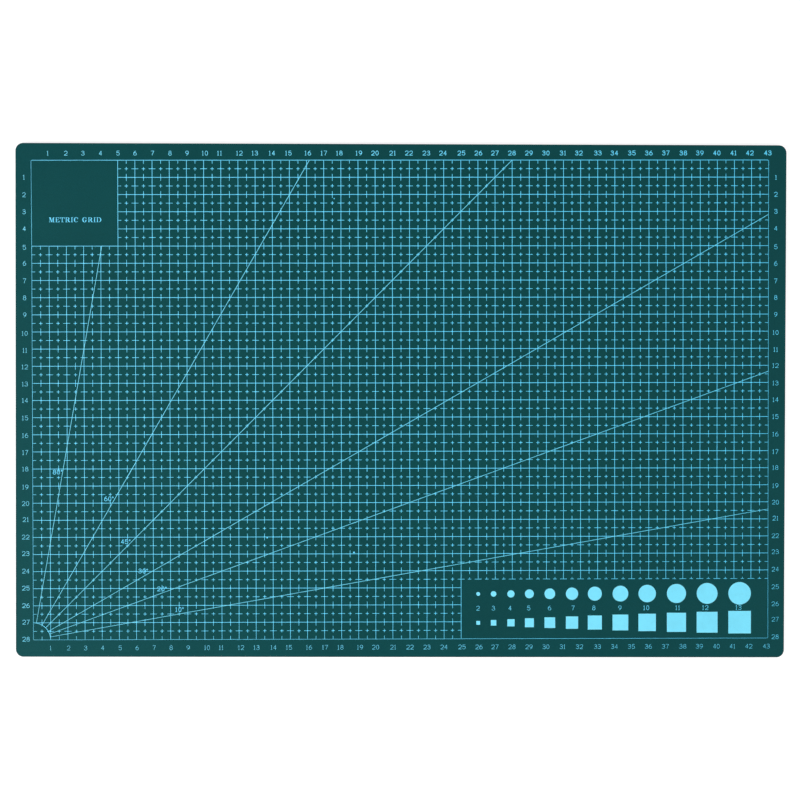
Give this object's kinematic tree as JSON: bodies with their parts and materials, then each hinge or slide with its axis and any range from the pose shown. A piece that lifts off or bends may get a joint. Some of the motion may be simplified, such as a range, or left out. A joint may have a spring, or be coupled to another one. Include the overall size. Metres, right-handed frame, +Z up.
{
  "type": "self healing cutting mat",
  "caption": "Flat rectangular laminated cutting mat with rounded corners and a printed centimetre grid, edge numerals, corner protractor lines and hole size gauges.",
  "frame": {"origin": "centre of the underside, on the bench", "axes": "+X along the long side, in the direction the printed numerals count along the top edge, +Y towards the top edge of the printed scale, +Z up out of the printed working face"},
  "size_m": [0.45, 0.3, 0.003],
  "materials": {
    "healing_skin": "matt dark teal green soft PVC with a fine grain",
    "liner": "plain off-white PVC, seen only as a thin line at the cut edge",
    "core": "stiff grey board, seen only as a thin line at the cut edge",
    "scale_ink": "satin light cyan screen printing ink"
  },
  "bodies": {
    "root": {"top_healing_sheet": "healing_skin", "upper_liner_sheet": "liner", "core_sheet": "core", "lower_liner_sheet": "liner", "bottom_healing_sheet": "healing_skin", "printed_scale": "scale_ink"}
  },
  "joints": []
}
